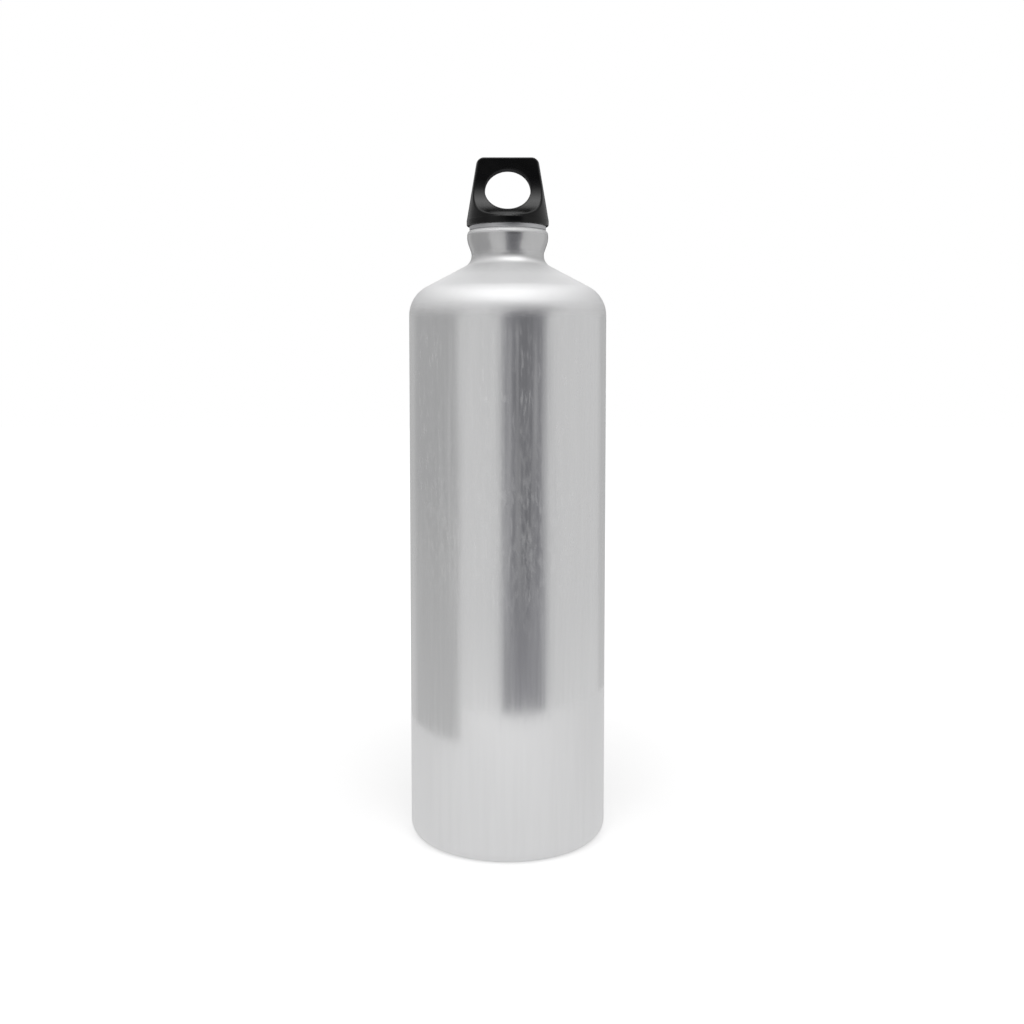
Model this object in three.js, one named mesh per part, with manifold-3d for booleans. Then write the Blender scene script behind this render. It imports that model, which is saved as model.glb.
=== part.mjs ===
// Aluminium drinking bottle with a screw cap and a carry loop.
// Millimetres, +Z up. The origin is the centre of the base, on the surface that the bottle stands on.
import * as THREE from "three";
import { mergeVertices } from "three/addons/utils/BufferGeometryUtils.js";
import Module from "manifold-3d";

const wasm = await Module();
wasm.setup();

// Fineness of the facets
const TURN_SEGMENTS = 48;
const ARC_ERROR = 0.15;
const SCOOP_SEGMENTS = 8;
const HOLE_SEGMENTS = 32;

// Shell: wall and base. A corner is where two straight stretches would meet without the radius between them.
const BODY_DIAMETER = 90;
const BODY_CORNER_HEIGHT = 249.3;
const BODY_WALL = 1;
const BASE_WALL = 1.6;
const BASE_CORNER_RADIUS = 7;
const STANDING_RING_WIDTH = 5;
const STANDING_RING_EDGE_RADIUS = 3;
const DOME_RISE = 6;
const DOME_SLOPE = 13;
const DOME_RADIUS = 22;

// Shell: shoulder and neck
const SHOULDER_ANGLE = THREE.MathUtils.degToRad(28);
const SHOULDER_RADIUS = 14.6;
const NECK_HOLLOW_RADIUS = 5.7;
const FLARE_ANGLE = THREE.MathUtils.degToRad(20);
const BULGE_HEIGHT = 5;
const BULGE_CURVE_RADIUS = 10;
const RIM_CURVE_RADIUS = 2.2;

// Screw thread, carried as two plain cylinders on either side of its pitch surface
const THREAD_PITCH_RADIUS = 13.2;
const THREAD_CLEARANCE = 0.15;

// Thread ring, from its bore outwards
const RING_SLEEVE_WALL = 1.9;
const RING_SLEEVE_DROP = 2.3;
const RING_BEAD_STEP = 1.95;
const RING_GROOVE_STEP = 0.4;
const RING_COLLAR_REACH = 2.2;
const RING_COLLAR_HEIGHT = 2.1;
const RING_COLLAR_EDGE = 0.4;
const RING_LEAD_IN = 0.8;
const RING_CLEARANCE = 0.25;

// Lining
const LINING_GAP = 0.05;
const LINING_THICKNESS = 0.2;
const LINING_END_GAP = 0.4;

// Gasket
const GASKET_THICKNESS = 1.6;
const GASKET_EDGE = 0.4;
const GASKET_CLEARANCE = 0.3;
const SEAT_GAP = 0.1;

// Cap: flange and knob
const CAP_HEIGHT = 30.6;
const CAP_TOP_EDGE = 2.3;
const CAP_SKIRT_LAP = 0.5;
const CAP_SKIRT_WALL = 0.95;
const FLANGE_HEIGHT = 3.2;
const FLANGE_EDGE = 0.8;
const KNOB_STEP = 0.15;
const KNOB_TAPER = THREE.MathUtils.degToRad(9.6);

// Cap: loop and stem
const SCOOP_RADIUS = 21;
const LOOP_THICKNESS = 9.4;
const HOLE_WIDTH = 20.8;
const HOLE_HEIGHT = 18.6;
const HOLE_FLOOR = 3.6;
const STEM_LENGTH = 12.8;
const STEM_WALL = 2.4;
const STEM_CHAMFER = 0.6;
const STEM_ROOF = 2.75;

// How far a cutting block runs past the cap
const CUT_PAST = 2;

// Radii that follow from the thread, from the ring's bore out to the shell and the cap
const BODY_RADIUS = BODY_DIAMETER / 2;
const STANDING_RING_INNER = BODY_RADIUS - BASE_CORNER_RADIUS - STANDING_RING_WIDTH;
const STEM_RADIUS = THREAD_PITCH_RADIUS - THREAD_CLEARANCE;
const RING_BORE_RADIUS = THREAD_PITCH_RADIUS + THREAD_CLEARANCE;
const RING_SLEEVE_RADIUS = RING_BORE_RADIUS + RING_SLEEVE_WALL;
const RING_GROOVE_RADIUS = RING_SLEEVE_RADIUS + RING_GROOVE_STEP;
const RING_BEAD_RADIUS = RING_SLEEVE_RADIUS + RING_BEAD_STEP;
const RING_COLLAR_RADIUS = RING_SLEEVE_RADIUS + RING_COLLAR_REACH;
const WAIST_RADIUS = RING_SLEEVE_RADIUS + RING_CLEARANCE + BODY_WALL;
const BULGE_RADIUS = RING_BEAD_RADIUS + RING_CLEARANCE + BODY_WALL;
const RIM_LIP_RADIUS = RING_GROOVE_RADIUS + RING_CLEARANCE;
const GASKET_INNER_RADIUS = STEM_RADIUS + GASKET_CLEARANCE;
const CAP_RECESS_RADIUS = RING_COLLAR_RADIUS + GASKET_CLEARANCE;
const FLANGE_RADIUS = CAP_RECESS_RADIUS + CAP_SKIRT_WALL;
const KNOB_BASE_RADIUS = FLANGE_RADIUS - KNOB_STEP;
const KNOB_TOP_RADIUS = KNOB_BASE_RADIUS - (CAP_HEIGHT - FLANGE_HEIGHT) * Math.tan(KNOB_TAPER);

// The hollow of the neck touches the shoulder cone and the flare, and its narrowest place is the waist.
// This is the corner that it rounds.
const NECK_HALF_ANGLE = (Math.PI / 2 - FLARE_ANGLE + SHOULDER_ANGLE) / 2;
const NECK_LEAN = (Math.PI / 2 - FLARE_ANGLE - SHOULDER_ANGLE) / 2;
const NECK_CORNER_SETBACK = NECK_HOLLOW_RADIUS * (Math.cos(NECK_LEAN) / Math.sin(NECK_HALF_ANGLE) - 1);
const NECK_CORNER_RADIUS = WAIST_RADIUS - NECK_CORNER_SETBACK;

// Heights, from the shoulder up to the cap
const NECK_CORNER_HEIGHT = BODY_CORNER_HEIGHT + (BODY_RADIUS - NECK_CORNER_RADIUS) * Math.tan(SHOULDER_ANGLE);
const BULGE_START = NECK_CORNER_HEIGHT + (BULGE_RADIUS - NECK_CORNER_RADIUS) / Math.tan(FLARE_ANGLE);
const RIM_HEIGHT = BULGE_START + BULGE_HEIGHT;
const RING_COLLAR_BOTTOM = RIM_HEIGHT + SEAT_GAP;
const RING_COLLAR_TOP = RING_COLLAR_BOTTOM + RING_COLLAR_HEIGHT;
const GASKET_BOTTOM = RING_COLLAR_TOP + SEAT_GAP;
const GASKET_TOP = GASKET_BOTTOM + GASKET_THICKNESS;
const CAP_BOTTOM = RING_COLLAR_TOP - CAP_SKIRT_LAP;
const CAP_TOP = CAP_BOTTOM + CAP_HEIGHT;
const CAP_RECESS_TOP = GASKET_TOP + SEAT_GAP;
const KNOB_BASE_HEIGHT = CAP_BOTTOM + FLANGE_HEIGHT;
const HOLE_BOTTOM = KNOB_BASE_HEIGHT + HOLE_FLOOR;
const HOLE_CENTRE_HEIGHT = HOLE_BOTTOM + HOLE_HEIGHT / 2;

// Outlines are lists of corners in the half plane of radius and height. Each corner has the radius of its
// rounding, and the thickness of the wall along the stretch that leaves it.
function corner(r, z, radius = 0, wall = 0) {
  return { point: new THREE.Vector2(r, z), radius, wall };
}

// Unit direction of the stretch from one corner to the next
function direction(from, to) {
  return to.point.clone().sub(from.point).normalize();
}

// Points of an outline, with every rounded corner drawn as an arc
function trace(corners) {
  const points = [];
  corners.forEach((here, index) => {
    const before = corners[index - 1];
    const after = corners[index + 1];
    if (!before || !after || here.radius <= 0) {
      points.push(here.point.clone());
      return;
    }
    const into = direction(before, here);
    const out = direction(here, after);
    const turn = Math.atan2(into.cross(out), into.dot(out));
    const setback = here.radius * Math.tan(Math.abs(turn) / 2);
    const side = Math.sign(turn);
    const start = here.point.clone().addScaledVector(into, -setback);
    const toCentre = new THREE.Vector2(-into.y, into.x).multiplyScalar(side * here.radius);
    const centre = start.clone().add(toCentre);
    const step = 2 * Math.acos(1 - ARC_ERROR / here.radius);
    const count = Math.max(2, Math.ceil(Math.abs(turn) / step));
    for (let k = 0; k <= count; k += 1) {
      points.push(start.clone().rotateAround(centre, (turn * k) / count));
    }
  });
  return points;
}

// Where the line through a along u meets the line through b along v
function meet(a, u, b, v) {
  const reach = b.clone().sub(a).cross(v) / u.cross(v);
  return a.clone().addScaledVector(u, reach);
}

// The outline moved to its left by each stretch's own wall and a further distance. The first corner stays
// on the axis and the last one keeps its radius.
function inset(corners, further) {
  const moved = corners.slice(0, -1).map((here, index) => {
    const along = direction(here, corners[index + 1]);
    const shift = here.wall + further;
    const base = here.point.clone().add(new THREE.Vector2(-along.y, along.x).multiplyScalar(shift));
    return { along, base, shift };
  });
  const upright = new THREE.Vector2(0, 1);
  return corners.map((here, index) => {
    const before = moved[index - 1];
    const after = moved[index];
    if (!before) {
      const point = meet(after.base, after.along, here.point, upright);
      return corner(point.x, point.y);
    }
    if (!after) {
      const point = meet(before.base, before.along, here.point, upright);
      return corner(point.x, point.y);
    }
    const point = meet(before.base, before.along, after.base, after.along);
    const side = Math.sign(before.along.cross(after.along));
    const radius = here.radius - (side * (before.shift + after.shift)) / 2;
    return corner(point.x, point.y, Math.max(radius, 0), here.wall);
  });
}

// The part of a rising run of points that is below a height
function below(points, height) {
  const last = points.findIndex((point) => point.y > height);
  const from = points[last - 1];
  const to = points[last];
  const share = (height - from.y) / (to.y - from.y);
  return [...points.slice(0, last), from.clone().lerp(to, share)];
}

// Keeps positions only, joins equal vertices and leaves out triangles without area
function weld(geometry) {
  const bare = geometry.clone();
  bare.deleteAttribute("normal");
  bare.deleteAttribute("uv");
  const merged = mergeVertices(bare, 1e-4);
  const source = merged.index.array;
  const kept = [];
  for (let i = 0; i < source.length; i += 3) {
    const [a, b, c] = [source[i], source[i + 1], source[i + 2]];
    if (a !== b && b !== c && c !== a) {
      kept.push(a, b, c);
    }
  }
  merged.setIndex(kept);
  return merged;
}

// Solid of revolution about Z from points that run anticlockwise round the metal
function revolve(points) {
  const outward = points.map((point) => new THREE.Vector2(Math.max(point.x, 0), point.y));
  const geometry = new THREE.LatheGeometry(outward, TURN_SEGMENTS);
  geometry.rotateX(Math.PI / 2);
  return weld(geometry);
}

function closed(points) {
  return [...points, points[0].clone()];
}

// Solids for cutting
function toSolid(geometry) {
  const welded = weld(geometry);
  const mesh = new wasm.Mesh({
    numProp: 3,
    vertProperties: new Float32Array(welded.attributes.position.array),
    triVerts: new Uint32Array(welded.index.array),
  });
  return new wasm.Manifold(mesh);
}

function toGeometry(solid) {
  const mesh = solid.getMesh();
  const geometry = new THREE.BufferGeometry();
  geometry.setAttribute("position", new THREE.BufferAttribute(new Float32Array(mesh.vertProperties), 3));
  geometry.setIndex(new THREE.BufferAttribute(new Uint32Array(mesh.triVerts), 1));
  return geometry;
}

// Outer outline of the shell, from the middle of the base to the edge of the rolled-in rim
const bodyCorners = [
  corner(0, DOME_RISE, 0, BASE_WALL),
  corner(STANDING_RING_INNER - DOME_SLOPE, DOME_RISE, DOME_RADIUS, BASE_WALL),
  corner(STANDING_RING_INNER, 0, STANDING_RING_EDGE_RADIUS, BASE_WALL),
  corner(BODY_RADIUS, 0, BASE_CORNER_RADIUS, BODY_WALL),
  corner(BODY_RADIUS, BODY_CORNER_HEIGHT, SHOULDER_RADIUS, BODY_WALL),
];
const neckCorners = [
  corner(NECK_CORNER_RADIUS, NECK_CORNER_HEIGHT, NECK_HOLLOW_RADIUS, BODY_WALL),
  corner(BULGE_RADIUS, BULGE_START, BULGE_CURVE_RADIUS, BODY_WALL),
  corner(BULGE_RADIUS, RIM_HEIGHT, RIM_CURVE_RADIUS, BODY_WALL),
  corner(RIM_LIP_RADIUS, RIM_HEIGHT),
];
const shellOutline = [...bodyCorners, ...neckCorners];

function bottleBody() {
  const outside = trace(shellOutline);
  const inside = trace(inset(shellOutline, 0));
  return revolve([...outside, ...inside.reverse()]);
}

// The thread ring's outside follows the inside of the neck, down to a plain sleeve at the waist
const [ringNeck, ringBulge, ringBead] = inset(shellOutline, RING_CLEARANCE).slice(bodyCorners.length);
const ringFlareStart = meet(
  ringNeck.point,
  direction(ringNeck, ringBulge),
  new THREE.Vector2(RING_SLEEVE_RADIUS, 0),
  new THREE.Vector2(0, 1),
);
const RING_BOTTOM = ringFlareStart.y - RING_SLEEVE_DROP;

// The bead fills the bulge, the groove takes the rolled-in rim and the collar lies on top of the rim
function neckThreadRing() {
  const outline = trace([
    corner(RING_BORE_RADIUS, RING_BOTTOM),
    corner(RING_SLEEVE_RADIUS, RING_BOTTOM),
    corner(ringFlareStart.x, ringFlareStart.y),
    ringBulge,
    ringBead,
    corner(RING_GROOVE_RADIUS, ringBead.point.y),
    corner(RING_GROOVE_RADIUS, RING_COLLAR_BOTTOM),
    corner(RING_COLLAR_RADIUS, RING_COLLAR_BOTTOM),
    corner(RING_COLLAR_RADIUS, RING_COLLAR_TOP, RING_COLLAR_EDGE),
    corner(RING_BORE_RADIUS + RING_LEAD_IN, RING_COLLAR_TOP),
    corner(RING_BORE_RADIUS, RING_COLLAR_TOP - RING_LEAD_IN),
  ]);
  return revolve(closed(outline));
}

// The coat follows the inside of the shell and ends below the thread ring
function innerLining() {
  const end = RING_BOTTOM - LINING_END_GAP;
  const outside = below(trace(inset(shellOutline, LINING_GAP)), end);
  const inside = below(trace(inset(shellOutline, LINING_GAP + LINING_THICKNESS)), end);
  return revolve([...outside, ...inside.reverse()]);
}

function capGasket() {
  const outline = trace([
    corner((GASKET_INNER_RADIUS + RING_COLLAR_RADIUS) / 2, GASKET_BOTTOM),
    corner(RING_COLLAR_RADIUS, GASKET_BOTTOM, GASKET_EDGE),
    corner(RING_COLLAR_RADIUS, GASKET_TOP, GASKET_EDGE),
    corner(GASKET_INNER_RADIUS, GASKET_TOP, GASKET_EDGE),
    corner(GASKET_INNER_RADIUS, GASKET_BOTTOM, GASKET_EDGE),
  ]);
  return revolve(closed(outline));
}

// The turned blank of the cap: hollow stem, gasket recess, flange and conical knob
function capBlank() {
  const stemBottom = CAP_BOTTOM - STEM_LENGTH;
  const hollowRadius = STEM_RADIUS - STEM_WALL;
  const hollowTop = HOLE_BOTTOM - STEM_ROOF;
  const outline = trace([
    corner(0, hollowTop),
    corner(hollowRadius, hollowTop),
    corner(hollowRadius, stemBottom),
    corner(STEM_RADIUS - STEM_CHAMFER, stemBottom),
    corner(STEM_RADIUS, stemBottom + STEM_CHAMFER),
    corner(STEM_RADIUS, CAP_RECESS_TOP),
    corner(CAP_RECESS_RADIUS, CAP_RECESS_TOP),
    corner(CAP_RECESS_RADIUS, CAP_BOTTOM),
    corner(FLANGE_RADIUS, CAP_BOTTOM, FLANGE_EDGE),
    corner(FLANGE_RADIUS, KNOB_BASE_HEIGHT),
    corner(KNOB_BASE_RADIUS, KNOB_BASE_HEIGHT),
    corner(KNOB_TOP_RADIUS, CAP_TOP, CAP_TOP_EDGE),
    corner(0, CAP_TOP),
  ]);
  return revolve(outline);
}

// The block that is scooped out in front of the loop: a quarter round from the flange's top into the loop's
// flat face
function scoop() {
  const face = LOOP_THICKNESS / 2;
  const centreY = face + SCOOP_RADIUS;
  const centreZ = KNOB_BASE_HEIGHT + SCOOP_RADIUS;
  const past = FLANGE_RADIUS + SCOOP_RADIUS;
  const above = CAP_TOP + CUT_PAST;
  const shape = new THREE.Shape();
  shape.moveTo(-past, KNOB_BASE_HEIGHT);
  shape.lineTo(-centreY, KNOB_BASE_HEIGHT);
  shape.absarc(-centreY, centreZ, SCOOP_RADIUS, -Math.PI / 2, 0);
  shape.lineTo(-face, above);
  shape.lineTo(-past, above);
  shape.closePath();
  const geometry = new THREE.ExtrudeGeometry(shape, {
    depth: 2 * past,
    bevelEnabled: false,
    curveSegments: SCOOP_SEGMENTS,
  });
  const basis = new THREE.Matrix4().makeBasis(
    new THREE.Vector3(0, 1, 0),
    new THREE.Vector3(0, 0, 1),
    new THREE.Vector3(1, 0, 0),
  );
  geometry.translate(0, 0, -past);
  return geometry.applyMatrix4(basis);
}

// The oval hole through the loop
function loopHole() {
  const length = 2 * (FLANGE_RADIUS + CUT_PAST);
  const shape = new THREE.Shape();
  shape.absellipse(0, HOLE_CENTRE_HEIGHT, HOLE_WIDTH / 2, HOLE_HEIGHT / 2, 0, 2 * Math.PI);
  const geometry = new THREE.ExtrudeGeometry(shape, {
    depth: length,
    bevelEnabled: false,
    curveSegments: HOLE_SEGMENTS,
  });
  const basis = new THREE.Matrix4().makeBasis(
    new THREE.Vector3(1, 0, 0),
    new THREE.Vector3(0, 0, 1),
    new THREE.Vector3(0, -1, 0),
  );
  geometry.translate(0, 0, -length / 2);
  return geometry.applyMatrix4(basis);
}

function screwCap() {
  const front = scoop();
  const back = front.clone().rotateZ(Math.PI);
  const solid = toSolid(capBlank())
    .subtract(toSolid(front))
    .subtract(toSolid(back))
    .subtract(toSolid(loopHole()));
  return toGeometry(solid);
}

function piece(name, geometry, color, roughness, metalness) {
  const mesh = new THREE.Mesh(geometry, new THREE.MeshStandardMaterial({ color, roughness, metalness }));
  mesh.name = name;
  return mesh;
}

const bottle = new THREE.Group();
bottle.name = "bottle";
bottle.add(
  piece("bottle_body", bottleBody(), 0xc9cbcc, 0.35, 1),
  piece("inner_lining", innerLining(), 0xd2bf8f, 0.4, 0),
  piece("neck_thread_ring", neckThreadRing(), 0xb9bbbd, 0.45, 1),
);

const closure = new THREE.Group();
closure.name = "closure";
closure.add(
  piece("cap_gasket", capGasket(), 0xe6e4dc, 0.6, 0),
  piece("screw_cap", screwCap(), 0x151516, 0.45, 0),
);

const part = new THREE.Group();
part.name = "aluminium_water_bottle";
part.add(bottle, closure);

export default part;
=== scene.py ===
import math
from collections import namedtuple

import bpy
import numpy as np
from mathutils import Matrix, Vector


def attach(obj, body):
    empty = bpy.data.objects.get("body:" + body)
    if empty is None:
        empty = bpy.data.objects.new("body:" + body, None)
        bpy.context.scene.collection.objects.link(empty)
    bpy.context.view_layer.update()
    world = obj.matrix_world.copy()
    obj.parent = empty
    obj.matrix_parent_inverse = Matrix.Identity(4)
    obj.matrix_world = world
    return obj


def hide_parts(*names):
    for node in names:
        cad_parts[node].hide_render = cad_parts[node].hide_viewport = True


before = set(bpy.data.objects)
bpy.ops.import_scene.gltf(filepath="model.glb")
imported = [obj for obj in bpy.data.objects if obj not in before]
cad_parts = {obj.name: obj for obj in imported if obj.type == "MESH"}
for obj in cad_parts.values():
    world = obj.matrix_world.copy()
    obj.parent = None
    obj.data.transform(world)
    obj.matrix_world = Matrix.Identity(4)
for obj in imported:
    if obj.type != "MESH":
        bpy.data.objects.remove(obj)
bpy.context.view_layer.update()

MM = 0.001

# Fineness of the meshes
ARC_STEP = math.radians(5)
LONGEST_ROW = 5.0
SHELL_SEGMENTS = 192
RING_SEGMENTS = 160
CAP_VOXEL = 0.36
SETTLE_ROUNDS = 6
SETTLE_SHARE = 0.5
PROJECTIONS = 2
GRADIENT_STEP = 0.01
ON_AXIS = 1e-6

# Shell, as in the solids
BODY_RADIUS = 45.0
BODY_CORNER_HEIGHT = 249.3
BODY_WALL = 1.0
BASE_WALL = 1.6
BASE_CORNER_RADIUS = 7.0
STANDING_RING_WIDTH = 5.0
STANDING_RING_EDGE_RADIUS = 3.0
DOME_RISE = 6.0
DOME_SLOPE = 13.0
DOME_RADIUS = 22.0
SHOULDER_ANGLE = math.radians(28)
SHOULDER_RADIUS = 14.6
NECK_HOLLOW_RADIUS = 5.7
FLARE_ANGLE = math.radians(20)
BULGE_HEIGHT = 5.0
BULGE_CURVE_RADIUS = 10.0
RIM_CURVE_RADIUS = 2.2
LIP_EDGE = 0.3

# Screw thread: a right-hand rounded trapezium
THREAD_PITCH_RADIUS = 13.2
THREAD_CLEARANCE = 0.15
THREAD_LEAD = 4.0
THREAD_DEPTH = 1.1
THREAD_FLANK = 1.5
THREAD_RUNOUT = 1.2

# Turns between the two threads, so that each crest lies in the other's root
RING_THREAD_SHIFT = 0.5

# Thread ring
RING_SLEEVE_WALL = 1.9
RING_SLEEVE_DROP = 2.3
RING_BEAD_STEP = 1.95
RING_GROOVE_STEP = 0.4
RING_COLLAR_REACH = 2.2
RING_COLLAR_HEIGHT = 2.1
RING_COLLAR_EDGE = 0.45
RING_SMALL_EDGE = 0.12
RING_LEAD_IN = 0.8
RING_CLEARANCE = 0.25
RING_ROW = 0.3

# Lining and gasket
LINING_GAP = 0.05
LINING_THICKNESS = 0.2
LINING_END_GAP = 0.4
GASKET_THICKNESS = 1.6
GASKET_EDGE = 0.4
GASKET_CLEARANCE = 0.3
SEAT_GAP = 0.1

# Cap, as in the solids apart from a tighter scoop and the rounding of its fine edges
CAP_HEIGHT = 30.6
CAP_TOP_EDGE = 2.3
CAP_SKIRT_LAP = 0.5
CAP_SKIRT_WALL = 0.95
FLANGE_HEIGHT = 3.2
FLANGE_EDGE = 0.8
FLANGE_TOP_EDGE = 0.5
KNOB_STEP = 0.15
KNOB_TAPER = math.radians(9.6)
SCOOP_RADIUS = 18.0
LOOP_THICKNESS = 9.4
LOOP_EDGE = 0.65
HOLE_WIDTH = 20.8
HOLE_HEIGHT = 18.6
HOLE_FLOOR = 3.6
HOLE_EDGE = 0.5
STEM_LENGTH = 12.8
STEM_WALL = 2.4
STEM_EDGE = 0.5
STEM_ROOF = 2.75
INNER_EDGE = 0.25

# Heights in metres over which each finish of the shell comes or goes: handling marks, the band where a hand
# holds the bottle, drawn lines, the spun shoulder, the spun rim of the mouth and the neck's darker tone
MARKS_START = (0.09, 0.13)
HELD_START = (0.085, 0.12)
HELD_END = (0.16, 0.21)
DRAWN_END = (0.231, 0.2385)
SPUN_START = (0.24, 0.2452)
SPUN_END = (0.2645, 0.2675)
SPUN_RIM = (0.2765, 0.2778)
NECK_START = (0.258, 0.263)

# Satin aluminium. The spun finish is blurred at its ends by a fine grain, over a length in metres.
WALL_ROUGHNESS = 0.16
SPUN_ROUGHNESS = 0.41
SPUN_METALLIC = 0.18
SPUN_BLUR = 0.003
SPUN_PALER = 0.3
NECK_DARKER = 0.65
MARKS_STRENGTH = 0.32
DRAWN_STRETCH = 0.9

# Values between which most of a noise lies, and its middle part
NOISE_SPREAD = (0.3, 0.7)
NOISE_MIDDLE = (0.35, 0.65)

# Camera, in metres and in pixels of the square picture
IMAGE_SIZE = 1024
SENSOR_WIDTH = 36.0
FOCAL_PIXELS = 1250
CAMERA_PLACE = (0, -0.5755, 0.2163)
CAMERA_TILT = 0.0656
SHIFT_PIXELS = (4.3, -61)

# Studio, in metres. Levels are radiances, where 1 is white.
FLOOR_SIZE = 8.0
FLOOR_PAINT = 0.75
FLOOR_LIFT_NEAR = 0.5
FLOOR_LIFT_FAR = 0.72
FLOOR_LIFT_REACH = (0.08, 0.35)
FLOOR_LIFT_MIRRORED = 0.32
WORLD_LEVEL = 0.45
SOFTBOX_PLACE = (0, -0.7, 0.62)
SOFTBOX_TARGET = (0, 0, 0)
SOFTBOX_SIZE = 0.8
SOFTBOX_LEVEL = 2.0
DARK_CARD_TINT = (0.98, 0.98, 1.04)
DARK_CARD_LEVELS = (0.3, 0.5)
CARD_STEP = 4

# Radii that follow from the thread
STEM_RADIUS = THREAD_PITCH_RADIUS - THREAD_CLEARANCE
RING_BORE_RADIUS = THREAD_PITCH_RADIUS + THREAD_CLEARANCE
RING_SLEEVE_RADIUS = RING_BORE_RADIUS + RING_SLEEVE_WALL
RING_GROOVE_RADIUS = RING_SLEEVE_RADIUS + RING_GROOVE_STEP
RING_BEAD_RADIUS = RING_SLEEVE_RADIUS + RING_BEAD_STEP
RING_COLLAR_RADIUS = RING_SLEEVE_RADIUS + RING_COLLAR_REACH
WAIST_RADIUS = RING_SLEEVE_RADIUS + RING_CLEARANCE + BODY_WALL
BULGE_RADIUS = RING_BEAD_RADIUS + RING_CLEARANCE + BODY_WALL
RIM_LIP_RADIUS = RING_GROOVE_RADIUS + RING_CLEARANCE
GASKET_INNER_RADIUS = STEM_RADIUS + GASKET_CLEARANCE
CAP_RECESS_RADIUS = RING_COLLAR_RADIUS + GASKET_CLEARANCE
FLANGE_RADIUS = CAP_RECESS_RADIUS + CAP_SKIRT_WALL
KNOB_BASE_RADIUS = FLANGE_RADIUS - KNOB_STEP

# The corner that the hollow of the neck rounds, so that its narrowest place is the waist
NECK_HALF_ANGLE = (math.pi / 2 - FLARE_ANGLE + SHOULDER_ANGLE) / 2
NECK_LEAN = (math.pi / 2 - FLARE_ANGLE - SHOULDER_ANGLE) / 2
NECK_CORNER_SETBACK = NECK_HOLLOW_RADIUS * (math.cos(NECK_LEAN) / math.sin(NECK_HALF_ANGLE) - 1)
NECK_CORNER_RADIUS = WAIST_RADIUS - NECK_CORNER_SETBACK

# Heights, from the shoulder up to the cap
NECK_CORNER_HEIGHT = BODY_CORNER_HEIGHT + (BODY_RADIUS - NECK_CORNER_RADIUS) * math.tan(SHOULDER_ANGLE)
BULGE_START = NECK_CORNER_HEIGHT + (BULGE_RADIUS - NECK_CORNER_RADIUS) / math.tan(FLARE_ANGLE)
RIM_HEIGHT = BULGE_START + BULGE_HEIGHT
RING_COLLAR_BOTTOM = RIM_HEIGHT + SEAT_GAP
RING_COLLAR_TOP = RING_COLLAR_BOTTOM + RING_COLLAR_HEIGHT
GASKET_BOTTOM = RING_COLLAR_TOP + SEAT_GAP
GASKET_TOP = GASKET_BOTTOM + GASKET_THICKNESS
CAP_BOTTOM = RING_COLLAR_TOP - CAP_SKIRT_LAP
CAP_TOP = CAP_BOTTOM + CAP_HEIGHT
CAP_RECESS_TOP = GASKET_TOP + SEAT_GAP
KNOB_BASE_HEIGHT = CAP_BOTTOM + FLANGE_HEIGHT
HOLE_BOTTOM = KNOB_BASE_HEIGHT + HOLE_FLOOR
HOLE_CENTRE_HEIGHT = HOLE_BOTTOM + HOLE_HEIGHT / 2
STEM_BOTTOM = CAP_BOTTOM - STEM_LENGTH
STEM_HOLLOW_RADIUS = STEM_RADIUS - STEM_WALL
STEM_HOLLOW_TOP = HOLE_BOTTOM - STEM_ROOF


# Outlines: corners in the half plane of radius and height, with the metal on the left of the way along them
Corner = namedtuple("Corner", "r z radius wall", defaults=(0.0, 0.0))


def unit(vector):
    return vector / np.linalg.norm(vector)


def left(vector):
    return np.array([-vector[1], vector[0]])


def cross(u, v):
    return u[0] * v[1] - u[1] * v[0]


def place(corner):
    return np.array([corner.r, corner.z])


def direction(start, end):
    return unit(place(end) - place(start))


def meet(a, u, b, v):
    """Where the line through a along u meets the line through b along v."""
    return a + u * cross(b - a, v) / cross(u, v)


def inset(corners, further):
    """The outline moved to its left by each stretch's own wall and a further distance."""
    moved = []
    for here, after in zip(corners, corners[1:]):
        along = direction(here, after)
        shift = here.wall + further
        moved.append((place(here) + left(along) * shift, along, shift))
    up = np.array([0.0, 1.0])
    first = meet(*moved[0][:2], place(corners[0]), up)
    last = meet(*moved[-1][:2], place(corners[-1]), up)
    result = [Corner(*first)]
    for here, (a, u, shift_in), (b, v, shift_out) in zip(corners[1:], moved, moved[1:]):
        side = math.copysign(1, cross(u, v))
        radius = max(here.radius - side * (shift_in + shift_out) / 2, 0)
        result.append(Corner(*meet(a, u, b, v), radius, here.wall))
    result.append(Corner(*last, corners[-1].radius))
    return result


def trace(corners, loop=False):
    """Points and outward normals of an outline, with its corners drawn as arcs."""
    points = []
    normals = []
    for index, here in enumerate(corners):
        if not loop and index in (0, len(corners) - 1):
            start = max(index - 1, 0)
            along = direction(corners[start], corners[start + 1])
            points.append(place(here))
            normals.append(-left(along))
            continue
        into = direction(corners[index - 1], here)
        out = direction(here, corners[(index + 1) % len(corners)])
        turn = math.atan2(cross(into, out), into @ out)
        side = math.copysign(1, turn)
        start = place(here) - into * here.radius * math.tan(abs(turn) / 2)
        centre = start + left(into) * side * here.radius
        steps = max(2, math.ceil(abs(turn) / ARC_STEP))
        for k in range(steps + 1):
            angle = turn * k / steps
            along = into * math.cos(angle) + left(into) * math.sin(angle)
            points.append(centre - left(along) * side * here.radius)
            normals.append(-left(along))
    return np.array(points), np.array(normals)


def refine(points, normals, longest):
    """Adds points until no stretch is longer than the given length."""
    fine_points = []
    fine_normals = []
    for index in range(len(points) - 1):
        length = np.linalg.norm(points[index + 1] - points[index])
        count = max(1, math.ceil(length / longest))
        for k in range(count):
            share = k / count
            fine_points.append(points[index] * (1 - share) + points[index + 1] * share)
            fine_normals.append(unit(normals[index] * (1 - share) + normals[index + 1] * share))
    fine_points.append(points[-1])
    fine_normals.append(normals[-1])
    return np.array(fine_points), np.array(fine_normals)


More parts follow.
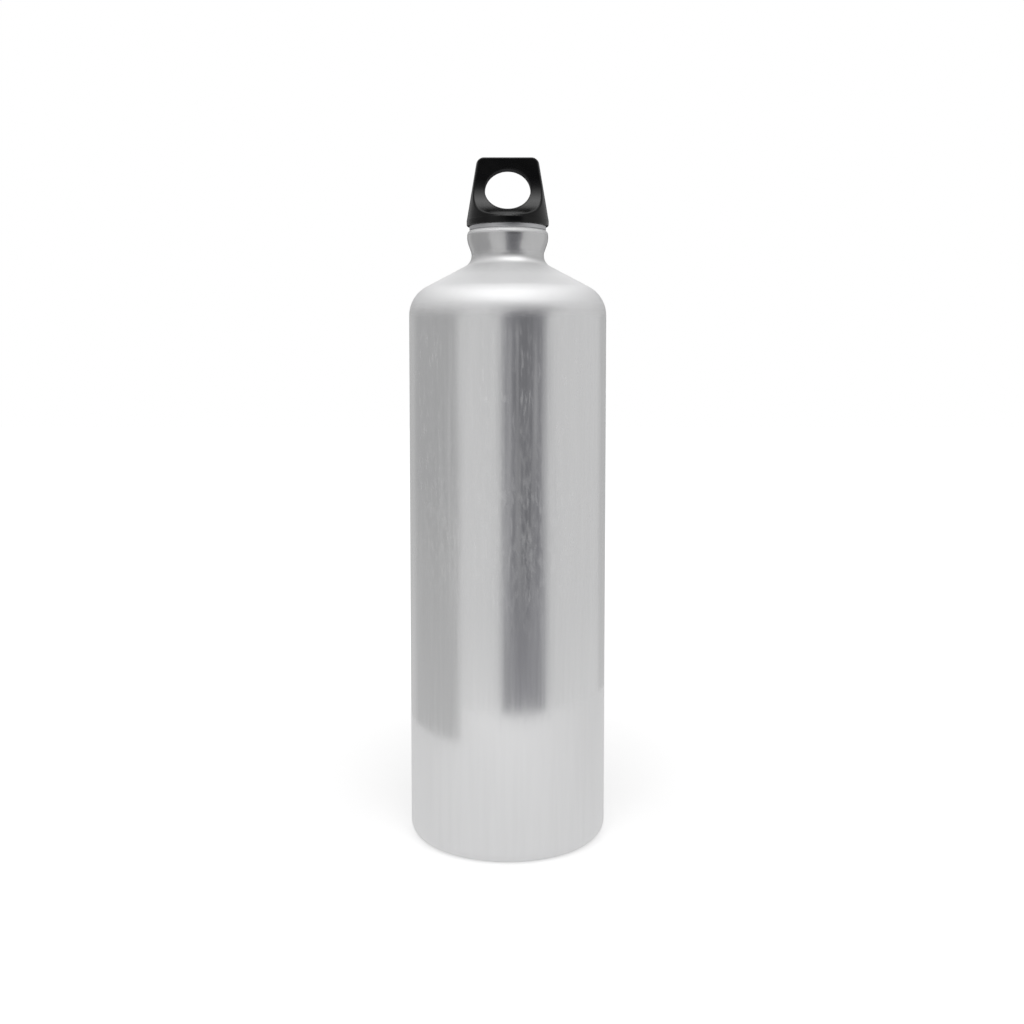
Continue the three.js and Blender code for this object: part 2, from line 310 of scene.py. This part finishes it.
def below(points, normals, height):
    """The first part of a rising run of points, up to a height."""
    last = int(np.argmax(points[:, 1] > height))
    share = (height - points[last - 1, 1]) / (points[last, 1] - points[last - 1, 1])
    end = points[last - 1] * (1 - share) + points[last] * share
    return np.vstack([points[:last], end]), normals[: last + 1]


# Meshes
def add_object(name, data):
    made = bpy.data.objects.new(name, data)
    bpy.context.scene.collection.objects.link(made)
    return made


def new_piece(name, points, faces, normals=None):
    """A smooth mesh object from points in millimetres, with exact normals where they are known."""
    mesh = bpy.data.meshes.new(name)
    mesh.from_pydata((np.asarray(points) * MM).tolist(), [], faces)
    mesh.shade_smooth()
    if normals is not None:
        mesh.normals_split_custom_set_from_vertices(np.asarray(normals).tolist())
    return add_object(name, mesh)


def lathe(points, normals, segments, loop=False):
    """Vertices, normals and faces of an outline turned about Z. A point on the axis is a single vertex."""
    angles = np.linspace(0, 2 * math.pi, segments, endpoint=False)
    around = np.column_stack([np.cos(angles), np.sin(angles)])
    vertices = []
    vertex_normals = []
    rows = []
    total = 0
    for (r, z), (normal_r, normal_z) in zip(points, normals):
        ring = around if r > ON_AXIS else around[:1]
        level = np.ones((len(ring), 1))
        vertices.append(np.hstack([ring * r, level * z]))
        vertex_normals.append(np.hstack([ring * normal_r, level * normal_z]))
        rows.append(list(range(total, total + len(ring))))
        total += len(ring)
    faces = []
    next_rows = rows[1:] + rows[:1] if loop else rows[1:]
    for low, high in zip(rows, next_rows):
        for j in range(segments):
            k = (j + 1) % segments
            face = (low[j % len(low)], low[k % len(low)], high[k % len(high)], high[j % len(high)])
            faces.append(tuple(dict.fromkeys(face)))
    return np.vstack(vertices), np.vstack(vertex_normals), faces


def thread_rise(heights, angles, shift=0.0):
    """Share of the thread's depth that stands up, from 0 at the root to 1 at the crest, shifted by turns."""
    turns = heights / THREAD_LEAD - angles / (2 * math.pi) + shift
    return np.clip(0.5 + THREAD_FLANK / 2 * np.cos(2 * math.pi * turns), 0, 1)


def runout(heights, low, high):
    """Fades the thread out at both of its ends."""
    rising = np.clip((heights - low) / THREAD_RUNOUT, 0, 1)
    falling = np.clip((high - heights) / THREAD_RUNOUT, 0, 1)
    return rising * falling


# The shell: from the middle of the base, up the outside, over the rolled-in rim and down the inside
def shell_corners():
    ring_inner = BODY_RADIUS - BASE_CORNER_RADIUS - STANDING_RING_WIDTH
    return [
        Corner(0, DOME_RISE, 0, BASE_WALL),
        Corner(ring_inner - DOME_SLOPE, DOME_RISE, DOME_RADIUS, BASE_WALL),
        Corner(ring_inner, 0, STANDING_RING_EDGE_RADIUS, BASE_WALL),
        Corner(BODY_RADIUS, 0, BASE_CORNER_RADIUS, BODY_WALL),
        Corner(BODY_RADIUS, BODY_CORNER_HEIGHT, SHOULDER_RADIUS, BODY_WALL),
        Corner(NECK_CORNER_RADIUS, NECK_CORNER_HEIGHT, NECK_HOLLOW_RADIUS, BODY_WALL),
        Corner(BULGE_RADIUS, BULGE_START, BULGE_CURVE_RADIUS, BODY_WALL),
        Corner(BULGE_RADIUS, RIM_HEIGHT, RIM_CURVE_RADIUS, BODY_WALL),
        Corner(RIM_LIP_RADIUS, RIM_HEIGHT, LIP_EDGE),
    ]


def make_shell():
    outside = shell_corners()
    inside = inset(outside, 0)
    points, normals = trace(outside + inside[::-1])
    points, normals = refine(points, normals, LONGEST_ROW)
    vertices, vertex_normals, faces = lathe(points, normals, SHELL_SEGMENTS)
    return new_piece("shell", vertices, faces, vertex_normals)


# The thread ring: bead in the bulge, groove round the rim, collar on top and the thread in its bore
def ring_seat():
    """The corners at the neck, the bulge and the rim, moved inwards to where the ring lies."""
    return inset(shell_corners(), RING_CLEARANCE)[-4:-1]


def ring_flare_start():
    """Where the sleeve's side meets the flare of the neck."""
    neck, bulge, _ = ring_seat()
    sleeve = np.array([RING_SLEEVE_RADIUS, 0.0])
    return meet(place(neck), direction(neck, bulge), sleeve, np.array([0.0, 1.0]))


RING_BOTTOM = ring_flare_start()[1] - RING_SLEEVE_DROP


def make_thread_ring():
    _, bulge, bead = ring_seat()
    root = RING_BORE_RADIUS + THREAD_DEPTH / 2
    small = RING_SMALL_EDGE
    over_rim = RING_COLLAR_RADIUS - (BULGE_RADIUS - RIM_CURVE_RADIUS)
    rim_fall = RIM_CURVE_RADIUS - math.sqrt(RIM_CURVE_RADIUS**2 - over_rim**2)
    corners = [
        Corner(root, RING_BOTTOM, small),
        Corner(RING_SLEEVE_RADIUS, RING_BOTTOM, small),
        Corner(*ring_flare_start(), small),
        bulge,
        bead,
        Corner(RING_GROOVE_RADIUS, bead.z, small),
        Corner(RING_GROOVE_RADIUS, RING_COLLAR_BOTTOM, small),
        Corner(BULGE_RADIUS - RIM_CURVE_RADIUS, RING_COLLAR_BOTTOM, small),
        Corner(RING_COLLAR_RADIUS, RING_COLLAR_BOTTOM - rim_fall, RING_COLLAR_EDGE),
        Corner(RING_COLLAR_RADIUS, RING_COLLAR_TOP, RING_COLLAR_EDGE),
        Corner(RING_BORE_RADIUS + RING_LEAD_IN, RING_COLLAR_TOP, small),
        Corner(root, RING_COLLAR_TOP - RING_LEAD_IN, small),
    ]
    points, normals = trace(corners, loop=True)
    points = np.vstack([points, points[:1]])
    normals = np.vstack([normals, normals[:1]])
    points, normals = refine(points, normals, RING_ROW)
    vertices, _, faces = lathe(points[:-1], normals[:-1], RING_SEGMENTS, loop=True)
    radii = np.hypot(vertices[:, 0], vertices[:, 1])
    heights = vertices[:, 2]
    angles = np.arctan2(vertices[:, 1], vertices[:, 0])
    fade = runout(heights, RING_BOTTOM + small, RING_COLLAR_TOP - RING_LEAD_IN - small)
    inward = THREAD_DEPTH * thread_rise(heights, angles, RING_THREAD_SHIFT) * fade * (radii < root + ON_AXIS)
    vertices[:, :2] *= ((radii - inward) / radii)[:, None]
    return new_piece("thread_ring", vertices, faces)


# The lining: a thin coat inside the shell, up to the thread ring
def make_lining():
    end = RING_BOTTOM - LINING_END_GAP
    runs = []
    for depth in (LINING_GAP, LINING_GAP + LINING_THICKNESS):
        fine = refine(*trace(inset(shell_corners(), depth)), LONGEST_ROW)
        runs.append(below(*fine, end))
    (outer, outer_normals), (inner, inner_normals) = runs
    points = np.vstack([outer, inner[::-1]])
    normals = np.vstack([outer_normals, -inner_normals[::-1]])
    vertices, vertex_normals, faces = lathe(points, normals, SHELL_SEGMENTS)
    return new_piece("lining", vertices, faces, vertex_normals)


def make_gasket():
    corners = [
        Corner(RING_COLLAR_RADIUS, GASKET_BOTTOM, GASKET_EDGE),
        Corner(RING_COLLAR_RADIUS, GASKET_TOP, GASKET_EDGE),
        Corner(GASKET_INNER_RADIUS, GASKET_TOP, GASKET_EDGE),
        Corner(GASKET_INNER_RADIUS, GASKET_BOTTOM, GASKET_EDGE),
    ]
    points, normals = trace(corners, loop=True)
    vertices, vertex_normals, faces = lathe(points, normals, RING_SEGMENTS, loop=True)
    return new_piece("gasket", vertices, faces, vertex_normals)


# The cap: a field that is negative in the plastic, with every edge rounded
def round_join(a, b, radius):
    """Union of two fields with a fillet of the given radius between them."""
    corner = np.hypot(np.maximum(radius - a, 0), np.maximum(radius - b, 0))
    return np.maximum(radius, np.minimum(a, b)) - corner


def round_common(a, b, radius):
    """Intersection of two fields with an edge of the given radius between them."""
    return -round_join(-a, -b, radius)


def knob_field(r, z):
    """The conical knob on its flange."""
    rise = np.maximum(z - KNOB_BASE_HEIGHT, 0)
    side = (r - KNOB_BASE_RADIUS) * math.cos(KNOB_TAPER) + rise * math.sin(KNOB_TAPER)
    knob = round_common(side, z - CAP_TOP, CAP_TOP_EDGE)
    flange = round_common(r - FLANGE_RADIUS, CAP_BOTTOM - z, FLANGE_EDGE)
    flange = round_common(flange, z - KNOB_BASE_HEIGHT, FLANGE_TOP_EDGE)
    return np.minimum(np.maximum(knob, KNOB_BASE_HEIGHT - FLANGE_TOP_EDGE - z), flange)


def scoop_field(y, z):
    """The hollows in front of and behind the loop."""
    return round_common(LOOP_THICKNESS / 2 - np.abs(y), KNOB_BASE_HEIGHT - z, SCOOP_RADIUS)


def hole_field(x, z):
    """The oval hole through the loop, as a first-order distance from its edge."""
    across = HOLE_WIDTH / 2
    up = HOLE_HEIGHT / 2
    near = np.hypot(x / across, (z - HOLE_CENTRE_HEIGHT) / up)
    slope = np.hypot(x / across**2, (z - HOLE_CENTRE_HEIGHT) / up**2)
    return near * (near - 1) / np.maximum(slope, ON_AXIS)


def stem_field(r, z, angles):
    """The stem with its thread, plain next to the gasket."""
    neck = CAP_RECESS_TOP - GASKET_THICKNESS - RING_LEAD_IN
    root = STEM_RADIUS - THREAD_DEPTH / 2
    crest = THREAD_DEPTH * thread_rise(z, angles) * runout(z, STEM_BOTTOM + STEM_EDGE, neck)
    plain = np.clip((z - neck) / THREAD_RUNOUT, 0, 1) * THREAD_DEPTH / 2
    stem = round_common(r - root - crest - plain, STEM_BOTTOM - z, STEM_EDGE)
    return np.maximum(stem, z - KNOB_BASE_HEIGHT)


def cap_field(points):
    x, y, z = points.T
    r = np.hypot(x, y)
    recess = round_common(r - CAP_RECESS_RADIUS, z - CAP_RECESS_TOP, INNER_EDGE)
    hollow = round_common(r - STEM_HOLLOW_RADIUS, z - STEM_HOLLOW_TOP, FLANGE_EDGE)
    cap = round_common(knob_field(r, z), -scoop_field(y, z), LOOP_EDGE)
    cap = round_common(cap, -hole_field(x, z), HOLE_EDGE)
    cap = round_common(cap, -recess, INNER_EDGE)
    cap = round_join(cap, stem_field(r, z, np.arctan2(y, x)), INNER_EDGE)
    return round_common(cap, -hollow, INNER_EDGE)


def gradient(field, points):
    steps = np.eye(3) * GRADIENT_STEP
    return np.column_stack([(field(points + s) - field(points - s)) / (2 * GRADIENT_STEP) for s in steps])


def settle(field, points, edges):
    """Draws points onto the field's zero surface and evens out their spacing along it."""
    neighbours = np.bincount(edges.ravel(), minlength=len(points))[:, None]
    for _ in range(SETTLE_ROUNDS):
        total = np.zeros_like(points)
        np.add.at(total, edges[:, 0], points[edges[:, 1]])
        np.add.at(total, edges[:, 1], points[edges[:, 0]])
        slope = gradient(field, points)
        normal = slope / np.linalg.norm(slope, axis=1, keepdims=True)
        pull = total / neighbours - points
        pull -= normal * np.sum(pull * normal, axis=1, keepdims=True)
        points = points + pull * SETTLE_SHARE
        for _ in range(PROJECTIONS):
            slope = gradient(field, points)
            points = points - slope * (field(points) / np.sum(slope**2, axis=1))[:, None]
    slope = gradient(field, points)
    return points, slope / np.linalg.norm(slope, axis=1, keepdims=True)


def remesh(cad_name, voxel):
    """Points, edges and faces of an even mesh over a CAD node's surface, in millimetres."""
    copy = add_object("remesh_source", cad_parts[cad_name].data.copy())
    modifier = copy.modifiers.new("voxels", "REMESH")
    modifier.mode = "VOXEL"
    modifier.voxel_size = voxel * MM
    depsgraph = bpy.context.evaluated_depsgraph_get()
    mesh = bpy.data.meshes.new_from_object(copy.evaluated_get(depsgraph))
    points = np.array([vertex.co for vertex in mesh.vertices]) / MM
    edges = np.array([edge.vertices for edge in mesh.edges])
    faces = [tuple(polygon.vertices) for polygon in mesh.polygons]
    bpy.data.objects.remove(copy)
    bpy.data.meshes.remove(mesh)
    return points, edges, faces


def make_cap():
    points, edges, faces = remesh("screw_cap", CAP_VOXEL)
    points, normals = settle(cap_field, points, edges)
    return new_piece("cap", points, faces, normals)


# Materials
def new_material(name):
    material = bpy.data.materials.new(name)
    material.use_nodes = True
    return material, material.node_tree, material.node_tree.nodes["Principled BSDF"]


def node(tree, kind, inputs=None, **settings):
    """A shader node with its settings, and with its inputs either set or linked."""
    made = tree.nodes.new("ShaderNode" + kind)
    for key, value in settings.items():
        setattr(made, key, value)
    for key, value in (inputs or {}).items():
        connect(tree, made, key, value)
    return made


def connect(tree, target, key, value):
    if isinstance(value, bpy.types.NodeSocket):
        tree.links.new(value, target.inputs[key])
    else:
        target.inputs[key].default_value = value


def own_place(tree, axis):
    """A point's place along one axis of its piece's own space, in metres."""
    space = node(tree, "TexCoord").outputs["Object"]
    return node(tree, "SeparateXYZ", {"Vector": space}).outputs[axis]


def noise(tree, scale, detail=2.0):
    """Noise in the piece's own space, with so many bumps per metre along X, Y and Z."""
    space = node(tree, "TexCoord").outputs["Object"]
    stretched = node(tree, "Mapping", {"Vector": space, "Scale": scale}).outputs["Vector"]
    return node(tree, "TexNoise", {"Vector": stretched, "Scale": 1.0, "Detail": detail}).outputs["Fac"]


def turned_noise(tree, scale, detail=2.0):
    """Noise that follows circles about Z, as a turning tool leaves it."""
    space = node(tree, "TexCoord").outputs["Object"]
    parts = node(tree, "SeparateXYZ", {"Vector": space}).outputs
    flat = node(tree, "CombineXYZ", {"X": parts["X"], "Y": parts["Y"]}).outputs["Vector"]
    radius = node(tree, "VectorMath", {0: flat}, operation="LENGTH").outputs["Value"]
    circle = node(tree, "CombineXYZ", {"X": radius, "Y": parts["Z"]}).outputs["Vector"]
    return node(tree, "TexNoise", {"Vector": circle, "Scale": scale, "Detail": detail}).outputs["Fac"]


def ranged(tree, value, from_low, from_high, to_low, to_high):
    """A level that follows a value from one limit to the other, and stays as it is beyond them."""
    inputs = {
        "Value": value,
        "From Min": from_low,
        "From Max": from_high,
        "To Min": to_low,
        "To Max": to_high,
    }
    return node(tree, "MapRange", inputs).outputs["Result"]


def math_node(tree, operation, a, b):
    return node(tree, "Math", {0: a, 1: b}, operation=operation).outputs["Value"]


def between(tree, value, start, end):
    """1 from a soft start to a soft end, and 0 outside them."""
    return math_node(tree, "MULTIPLY", ranged(tree, value, *start, 0, 1), ranged(tree, value, *end, 1, 0))


def blend_colours(tree, factor, low, high):
    ramp = node(tree, "ValToRGB", {"Fac": factor})
    ramp.color_ramp.elements[0].color = (*low, 1)
    ramp.color_ramp.elements[1].color = (*high, 1)
    return ramp.outputs["Color"]


def bump(tree, height, distance, strength=1.0):
    """A normal over relief whose full height is a distance in metres."""
    inputs = {"Height": height, "Distance": distance, "Strength": strength}
    return node(tree, "Bump", inputs).outputs["Normal"]


def handling_marks(tree, height):
    """Dull scratches in patches, wiped streaks, and flecks where a hand holds the wall."""
    scratches = ranged(tree, noise(tree, (1000, 1000, 150), 2), 0.55, 0.66, 0, 1)
    patches = ranged(tree, noise(tree, (38, 38, 16), 2), 0.35, 0.55, 0.1, 1)
    wiped = ranged(tree, noise(tree, (300, 300, 9), 2), 0.5, 0.75, 0, 0.7)
    flecks = ranged(tree, noise(tree, (850, 850, 170), 3), 0.46, 0.66, 0, 0.8)
    scratched = math_node(tree, "MULTIPLY", scratches, patches)
    held = math_node(tree, "MULTIPLY", flecks, between(tree, height, HELD_START, HELD_END))
    marks = math_node(tree, "MAXIMUM", math_node(tree, "MAXIMUM", scratched, wiped), held)
    return math_node(tree, "MULTIPLY", marks, between(tree, height, MARKS_START, DRAWN_END))


def spun_share(tree, height):
    """1 on the spun shoulder and the mouth's rim, and 0 on the drawn wall and the neck."""
    grain = noise(tree, (20000, 20000, 20000), 0)
    blur = ranged(tree, grain, *NOISE_SPREAD, -SPUN_BLUR, SPUN_BLUR)
    shoulder = between(tree, math_node(tree, "ADD", height, blur), SPUN_START, SPUN_END)
    return math_node(tree, "MAXIMUM", shoulder, ranged(tree, height, *SPUN_RIM, 0, 1))


def satin_aluminium():
    """Bare aluminium: a wall drawn along its height, with fine lines, streaks and dull handling marks,
    then a dull spun shoulder with fine circles, and a neck that is a little darker."""
    material, tree, shader = new_material("satin_aluminium")
    height = own_place(tree, "Z")
    spun = spun_share(tree, height)
    neck = ranged(tree, height, *NECK_START, 0, 1)
    marks = math_node(tree, "MULTIPLY", handling_marks(tree, height), MARKS_STRENGTH)
    dull = math_node(tree, "MAXIMUM", spun, marks)

    lines = noise(tree, (900, 900, 26), 3)
    streaks = noise(tree, (420, 420, 18), 4)
    line_grain = ranged(tree, lines, *NOISE_SPREAD, -0.02, 0.02)
    streak_grain = ranged(tree, streaks, *NOISE_MIDDLE, -0.02, 0.03)
    grain = math_node(tree, "ADD", line_grain, streak_grain)
    grain = math_node(tree, "MULTIPLY", grain, ranged(tree, height, *DRAWN_END, 1, 0))
    base_roughness = ranged(tree, spun, 0, 1, WALL_ROUGHNESS, SPUN_ROUGHNESS)
    tone = ranged(tree, streaks, *NOISE_MIDDLE, 0.66, 0.76)
    tone = math_node(tree, "ADD", tone, math_node(tree, "MULTIPLY", spun, SPUN_PALER))
    tone = math_node(tree, "SUBTRACT", tone, math_node(tree, "MULTIPLY", neck, NECK_DARKER))
    circles = math_node(tree, "MULTIPLY", turned_noise(tree, 1300, 3), spun)
    relief = math_node(tree, "ADD", math_node(tree, "MULTIPLY", lines, 0.25), circles)

    connect(tree, shader, "Base Color", blend_colours(tree, tone, (0.57, 0.57, 0.572), (0.79, 0.791, 0.796)))
    connect(tree, shader, "Metallic", ranged(tree, dull, 0, 1, 1, SPUN_METALLIC))
    connect(tree, shader, "Specular IOR Level", 0.0)
    connect(tree, shader, "Roughness", math_node(tree, "ADD", grain, base_roughness))
    connect(tree, shader, "Anisotropic", DRAWN_STRETCH)
    tangent = node(tree, "Tangent", direction_type="RADIAL", axis="Z")
    connect(tree, shader, "Tangent", tangent.outputs["Tangent"])
    connect(tree, shader, "Normal", bump(tree, relief, 0.00002))
    return material


def turned_aluminium():
    """The thread ring's aluminium, with the circles that a turning tool leaves."""
    material, tree, shader = new_material("turned_aluminium")
    circles = turned_noise(tree, 4500, 2)
    cloud = noise(tree, (240, 240, 240), 2)
    connect(tree, shader, "Base Color", blend_colours(tree, cloud, (0.5, 0.5, 0.51), (0.58, 0.58, 0.59)))
    connect(tree, shader, "Metallic", 1.0)
    connect(tree, shader, "Roughness", ranged(tree, circles, *NOISE_SPREAD, 0.38, 0.52))
    connect(tree, shader, "Normal", bump(tree, circles, 0.00003, 0.4))
    return material


def gold_lacquer():
    """The baked coat inside the bottle, with a slight orange peel."""
    material, tree, shader = new_material("gold_lacquer")
    cloud = noise(tree, (60, 60, 60), 3)
    peel = noise(tree, (700, 700, 700), 1)
    connect(tree, shader, "Base Color", blend_colours(tree, cloud, (0.6, 0.5, 0.28), (0.68, 0.58, 0.35)))
    connect(tree, shader, "Roughness", ranged(tree, cloud, *NOISE_SPREAD, 0.24, 0.34))
    connect(tree, shader, "Normal", bump(tree, peel, 0.00004, 0.3))
    return material


def white_silicone():
    """The gasket's soft white rubber, a little yellowed in places."""
    material, tree, shader = new_material("white_silicone")
    cloud = noise(tree, (180, 180, 180), 3)
    grain = noise(tree, (2600, 2600, 2600), 2)
    connect(tree, shader, "Base Color", blend_colours(tree, cloud, (0.72, 0.7, 0.63), (0.8, 0.79, 0.75)))
    connect(tree, shader, "Roughness", ranged(tree, grain, *NOISE_SPREAD, 0.45, 0.6))
    connect(tree, shader, "Normal", bump(tree, grain, 0.00003, 0.3))
    return material


def black_plastic():
    """Moulded black plastic: fine grain, paler rubbed edges and a parting line in the plane of the loop."""
    material, tree, shader = new_material("black_plastic")
    grain = noise(tree, (3200, 3200, 3200), 2)
    cloud = noise(tree, (150, 150, 150), 3)
    edges = node(tree, "NewGeometry").outputs["Pointiness"]
    rubbed = math_node(tree, "MULTIPLY", ranged(tree, edges, 0.52, 0.6, 0, 1), cloud)
    from_middle = math_node(tree, "ABSOLUTE", own_place(tree, "Y"), 0)
    ridge = ranged(tree, from_middle, 0.00005, 0.0002, 1, 0)
    relief = math_node(tree, "ADD", math_node(tree, "MULTIPLY", grain, 0.3), ridge)
    colour = blend_colours(tree, rubbed, (0.0008, 0.0008, 0.0009), (0.006, 0.006, 0.0062))
    connect(tree, shader, "Base Color", colour)
    connect(tree, shader, "Specular IOR Level", 0.26)
    connect(tree, shader, "Roughness", ranged(tree, cloud, *NOISE_SPREAD, 0.24, 0.3))
    connect(tree, shader, "Normal", bump(tree, relief, 0.00006, 0.35))
    return material


# Studio
def for_views(tree, seen, mirrored):
    """One level for what the camera sees, another for what metal or glass shows, and 0 for other rays."""
    path = node(tree, "LightPath").outputs
    shown = math_node(tree, "MAXIMUM", path["Is Glossy Ray"], path["Is Transmission Ray"])
    in_mirrors = math_node(tree, "MULTIPLY", shown, mirrored)
    in_camera = math_node(tree, "MULTIPLY", path["Is Camera Ray"], seen)
    return math_node(tree, "ADD", in_mirrors, in_camera)


def bare_material(name):
    """A new material without its first shader."""
    material = bpy.data.materials.new(name)
    material.use_nodes = True
    tree = material.node_tree
    tree.nodes.remove(tree.nodes["Principled BSDF"])
    return material, tree


def make_floor():
    """A pale floor that keeps the bottle's shadow and is lifted to white further away."""
    half = FLOOR_SIZE / 2
    corners = [(-half, -half, 0), (half, -half, 0), (half, half, 0), (-half, half, 0)]
    mesh = bpy.data.meshes.new("floor")
    mesh.from_pydata(corners, [], [(0, 1, 2, 3)])
    floor = add_object("floor", mesh)
    material, tree = bare_material("white_floor")
    paint = node(tree, "BsdfDiffuse", {"Color": (FLOOR_PAINT, FLOOR_PAINT, FLOOR_PAINT, 1)})
    from_bottle = node(tree, "TexCoord").outputs["Object"]
    distance = node(tree, "VectorMath", {0: from_bottle}, operation="LENGTH").outputs["Value"]
    seen = ranged(tree, distance, *FLOOR_LIFT_REACH, FLOOR_LIFT_NEAR, FLOOR_LIFT_FAR)
    lift = node(tree, "Emission", {"Strength": for_views(tree, seen, FLOOR_LIFT_MIRRORED)})
    both = node(tree, "AddShader", {0: paint.outputs["BSDF"], 1: lift.outputs["Emission"]})
    connect(tree, tree.nodes["Material Output"], "Surface", both.outputs["Shader"])
    mesh.materials.append(material)


def make_world():
    """Even light from all round, and plain white for what the camera sees or metal shows."""
    world = bpy.data.worlds.new("studio")
    world.use_nodes = True
    tree = world.node_tree
    strength = math_node(tree, "ADD", for_views(tree, 1 - WORLD_LEVEL, 1 - WORLD_LEVEL), WORLD_LEVEL)
    connect(tree, tree.nodes["Background"], "Color", (1, 1, 1, 1))
    connect(tree, tree.nodes["Background"], "Strength", strength)
    bpy.context.scene.world = world


def card_material():
    """Emission at the level that a card's own points carry, a little cooler on dark cards."""
    material, tree = bare_material("studio_card")
    level = node(tree, "Attribute", attribute_name="level").outputs["Fac"]
    pale = ranged(tree, level, *DARK_CARD_LEVELS, 0, 1)
    tint = blend_colours(tree, pale, DARK_CARD_TINT, (1, 1, 1))
    glow = node(tree, "Emission", {"Color": tint, "Strength": level})
    connect(tree, tree.nodes["Material Output"], "Surface", glow.outputs["Emission"])
    return material


def upright(radius, *rows):
    """Rows of a card that stands straight up, from their heights and levels."""
    return [(radius, height, level) for height, level in rows]


# Cards round the bottle: degrees from the front to the right, then radius, height and level of each row
DARK_RADIUS = 0.287
PALE_RADIUS = 0.29
LEFT_RADIUS = 0.218
BACK_RADIUS = 0.25
CARDS = [
    ("dark_left_card", (-6, 6), upright(DARK_RADIUS, (0, 0.38), (0.1, 0.28), (0.3, 0.27), (0.315, 0.05))),
    ("dark_card", (6, 27), upright(DARK_RADIUS, (0, 0.33), (0.1, 0.2), (0.3, 0.2), (0.315, 0.05))),
    ("dark_right_card", (27, 41), upright(DARK_RADIUS, (0, 0.36), (0.1, 0.26), (0.3, 0.25), (0.315, 0.05))),
    ("black_card", (-22, 41), upright(DARK_RADIUS, (0.315, 0.05), (0.37, 0.05), (0.385, 0.3))),
    ("front_left_card", (-52, -6), upright(PALE_RADIUS, (0, 0.85), (0.06, 0.76), (0.15, 0.74), (0.39, 0.7))),
    ("left_card", (-125, -52), upright(LEFT_RADIUS, (0, 0.6), (0.15, 0.48), (0.39, 0.5))),
    ("right_card", (41, 125), upright(PALE_RADIUS, (0, 0.8), (0.06, 0.75), (0.15, 0.74), (0.39, 0.74))),
    ("far_left_card", (-155, -125), upright(LEFT_RADIUS, (0, 0.7), (0.15, 0.6), (0.39, 0.6))),
    ("far_right_card", (125, 155), upright(PALE_RADIUS, (0, 0.65), (0.15, 0.58), (0.39, 0.55))),
    (
        "back_card",
        (155, 205),
        upright(BACK_RADIUS, (0, 0.6), (0.2, 0.2), (0.25, 0.05), (0.33, 0.05), (0.39, 0.5)),
    ),
    (
        "upper_front_card",
        (-52, 41),
        [(1.13, 0.6, 0.25), (0.95, 1.02, 0.42), (0.9, 1.09, 1.8), (0.79, 1.19, 2.2)],
    ),
    ("upper_left_card", (-180, -52), [(LEFT_RADIUS, 0.39, 0.5), (0.26, 0.58, 0.45)]),
    ("upper_right_card", (41, 180), [(PALE_RADIUS, 0.39, 0.55), (0.26, 0.58, 0.45)]),
    (
        "overhead_card",
        (-52, 41),
        [(0.79, 1.19, 2.2), (0.53, 1.36, 4.4), (0.27, 1.45, 5.6), (0.01, 1.48, 4.2)],
    ),
    (
        "overhead_back_card",
        (41, 308),
        [(0.26, 0.58, 0.6), (0.16, 0.75, 1.6), (0.1, 0.785, 2.4), (0.01, 0.82, 4.2)],
    ),
]


def make_card(name, azimuths, outline, material):
    """A curved studio card that only reflections show."""
    count = max(2, math.ceil((azimuths[1] - azimuths[0]) / CARD_STEP) + 1)
    angles = np.radians(np.linspace(*azimuths, count))
    points = [(r * math.sin(a), -r * math.cos(a), z) for r, z, _ in outline for a in angles]
    faces = []
    for row in range(len(outline) - 1):
        for j in range(count - 1):
            low = row * count + j
            faces.append((low, low + 1, low + count + 1, low + count))
    mesh = bpy.data.meshes.new(name)
    mesh.from_pydata(points, [], faces)
    levels = mesh.attributes.new("level", "FLOAT", "POINT")
    levels.data.foreach_set("value", np.repeat([level for _, _, level in outline], count))
    mesh.materials.append(material)
    card = add_object(name, mesh)
    card.visible_camera = False
    card.visible_diffuse = False
    card.visible_shadow = False
    card.visible_transmission = False


def make_softbox():
    """A soft square lamp above and behind the camera, which neither the camera nor metal shows."""
    light = bpy.data.lights.new("softbox", "AREA")
    light.size = SOFTBOX_SIZE
    light.energy = SOFTBOX_LEVEL * math.pi * SOFTBOX_SIZE**2
    lamp = add_object("softbox", light)
    lamp.location = SOFTBOX_PLACE
    lamp.rotation_mode = "QUATERNION"
    lamp.rotation_quaternion = (Vector(SOFTBOX_TARGET) - Vector(SOFTBOX_PLACE)).to_track_quat("-Z", "Y")
    lamp.visible_glossy = False
    lamp.visible_camera = False


def make_camera():
    data = bpy.data.cameras.new("camera")
    data.sensor_width = SENSOR_WIDTH
    data.lens = FOCAL_PIXELS * SENSOR_WIDTH / IMAGE_SIZE
    data.shift_x = SHIFT_PIXELS[0] / IMAGE_SIZE
    data.shift_y = SHIFT_PIXELS[1] / IMAGE_SIZE
    camera = add_object("camera", data)
    camera.location = CAMERA_PLACE
    camera.rotation_euler = (math.pi / 2 - CAMERA_TILT, 0, 0)
    bpy.context.scene.camera = camera


pieces = [
    (make_shell(), "bottle_body", "bottle", "shell", satin_aluminium()),
    (make_lining(), "inner_lining", "bottle", "lining", gold_lacquer()),
    (make_thread_ring(), "neck_thread_ring", "bottle", "thread_ring", turned_aluminium()),
    (make_gasket(), "cap_gasket", "gasket", "gasket", white_silicone()),
    (make_cap(), "screw_cap", "cap", "cap", black_plastic()),
]
for piece, cad_node, body, slot, material in pieces:
    piece.data.materials.append(material)
    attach(piece, body)
    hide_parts(cad_node)

make_floor()
make_world()
card_paint = card_material()
for name, azimuths, outline in CARDS:
    make_card(name, azimuths, outline, card_paint)
make_softbox()
make_camera()
bpy.context.scene.view_settings.view_transform = "Standard"
